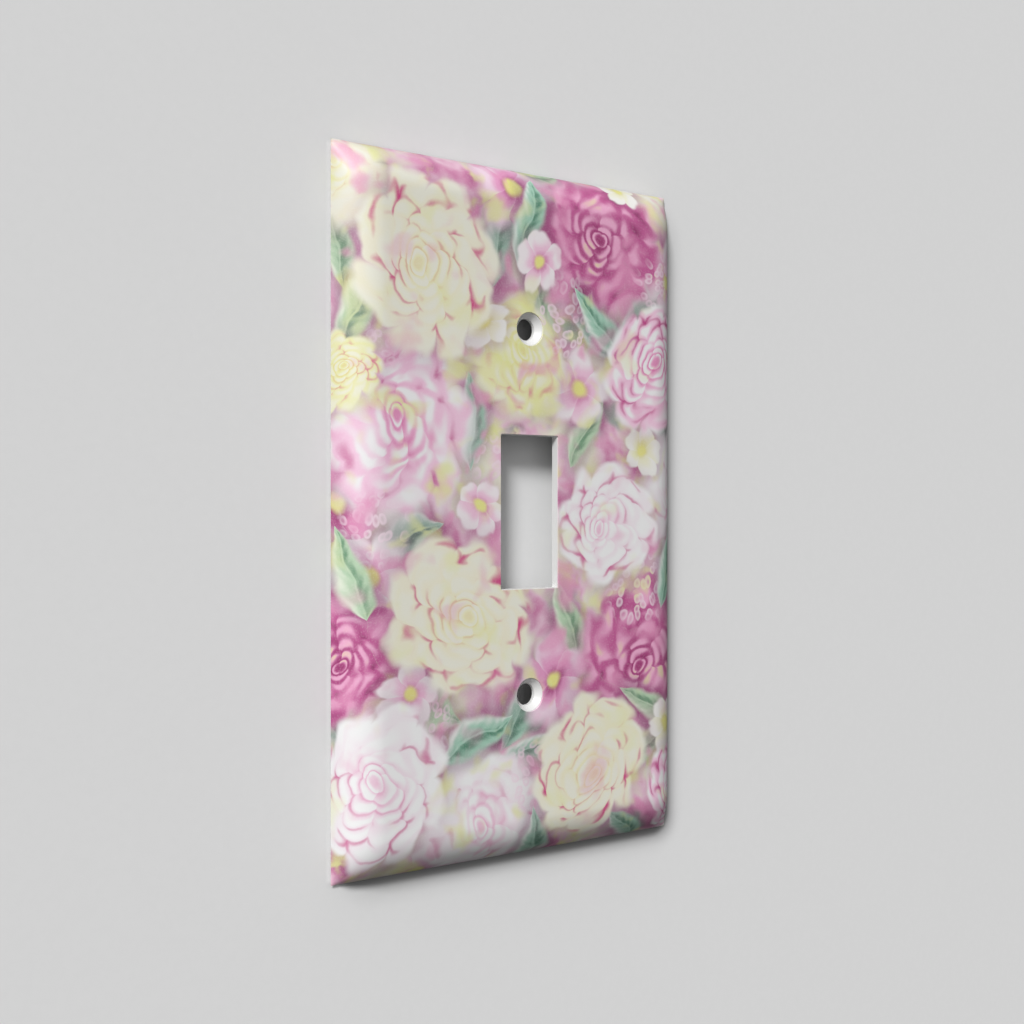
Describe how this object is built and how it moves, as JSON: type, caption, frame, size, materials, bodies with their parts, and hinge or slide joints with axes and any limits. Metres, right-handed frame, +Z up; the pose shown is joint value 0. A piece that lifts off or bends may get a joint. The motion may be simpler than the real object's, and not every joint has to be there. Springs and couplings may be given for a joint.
{
  "type": "toggle switch wall plate",
  "caption": "Rectangular wall plate with rolled edges, a toggle slot and countersunk screw holes, covered by a printed floral film.",
  "frame": {"origin": "centre of the plate's outline, in the plane of its back rim", "axes": "+X to the right seen from the front, +Y into the wall, +Z up; the printed face looks along -Y"},
  "size_m": [0.0698, 0.0049, 0.1142],
  "materials": {
    "moulding": "smooth white moulding",
    "print": "satin film printed with pink, cream and green flowers"
  },
  "bodies": {
    "root": {"moulded_plate": "moulding", "printed_film": "print"}
  },
  "joints": []
}
